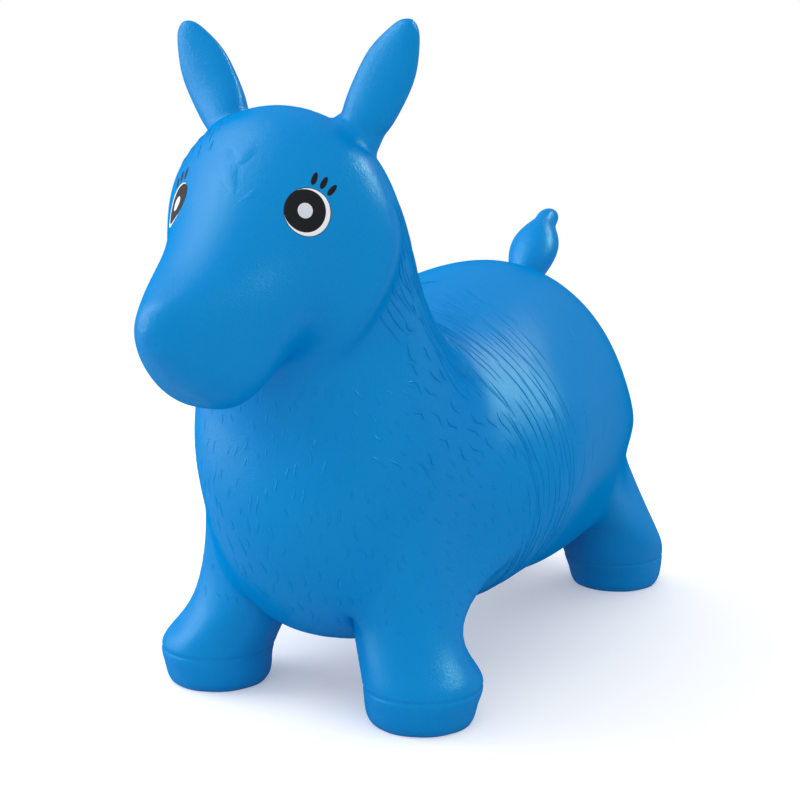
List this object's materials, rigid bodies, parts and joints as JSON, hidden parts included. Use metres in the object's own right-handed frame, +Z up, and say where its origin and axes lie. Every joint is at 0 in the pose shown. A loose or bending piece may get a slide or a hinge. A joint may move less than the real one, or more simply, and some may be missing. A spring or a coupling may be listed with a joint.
{
  "type": "bouncy ride-on horse",
  "caption": "Air-filled vinyl hopper horse with a low barrel body, stub legs, tall ears to hold, a small tail and a push-in air valve, for a small child to sit on and bounce.",
  "frame": {"origin": "on the floor, under the middle of the horse's overall box", "axes": "+Z up, the horse faces -Y and its left side is +X"},
  "size_m": [0.2788, 0.5703, 0.4586],
  "materials": {
    "skin": "satin soft blue PVC",
    "print_white": "white print",
    "print_black": "black print",
    "print_pale": "pale grey print",
    "plug": "satin white plastic"
  },
  "bodies": {
    "feet": {"hoof_front_left": "skin", "hoof_front_right": "skin", "hoof_rear_left": "skin", "hoof_rear_right": "skin"},
    "trunk": {"trunk": "skin", "neck": "skin", "head": "skin", "leg_front_left": "skin", "leg_front_right": "skin", "leg_rear_left": "skin", "leg_rear_right": "skin", "eye_white_left": "print_white", "eye_white_right": "print_white", "eye_iris_left": "print_black", "eye_iris_right": "print_black", "eye_glint_left": "print_pale", "eye_glint_right": "print_pale", "lash_1_left": "print_black", "lash_2_left": "print_black", "lash_3_left": "print_black", "lash_1_right": "print_black", "lash_2_right": "print_black", "lash_3_right": "print_black", "valve_collar": "skin"},
    "ear_left": {"ear_left": "skin"},
    "ear_right": {"ear_right": "skin"},
    "tail": {"tail": "skin"},
    "valve_plug": {"valve_plug": "plug"}
  },
  "joints": [
    {"name": "bounce", "type": "slide", "parent": "feet", "child": "trunk", "axis": [0, 0, 1], "range_m": [-0.012, 0], "stiffness_N_per_m": 6000, "springref_m": 0.003, "deforming": ["leg_front_left", "leg_front_right", "leg_rear_left", "leg_rear_right"]},
    {"name": "ear_left_flex", "type": "hinge", "parent": "trunk", "child": "ear_left", "pos_m": [0.0475, -0.13, 0.3875], "axis": [0.8772, -0.0055, -0.4801], "range_deg": [-30, 30], "stiffness_Nm_per_rad": 0.6},
    {"name": "ear_right_flex", "type": "hinge", "parent": "trunk", "child": "ear_right", "pos_m": [-0.0475, -0.13, 0.3875], "axis": [0.8772, 0.0055, 0.4801], "range_deg": [-30, 30], "stiffness_Nm_per_rad": 0.6},
    {"name": "tail_flex", "type": "hinge", "parent": "trunk", "child": "tail", "pos_m": [0, 0.2035, 0.248], "axis": [1, 0, 0], "range_deg": [-25, 25], "stiffness_Nm_per_rad": 0.3},
    {"name": "valve_plug_pull", "type": "slide", "parent": "trunk", "child": "valve_plug", "axis": [0, 0, -1], "range_m": [0, 0.014]}
  ]
}
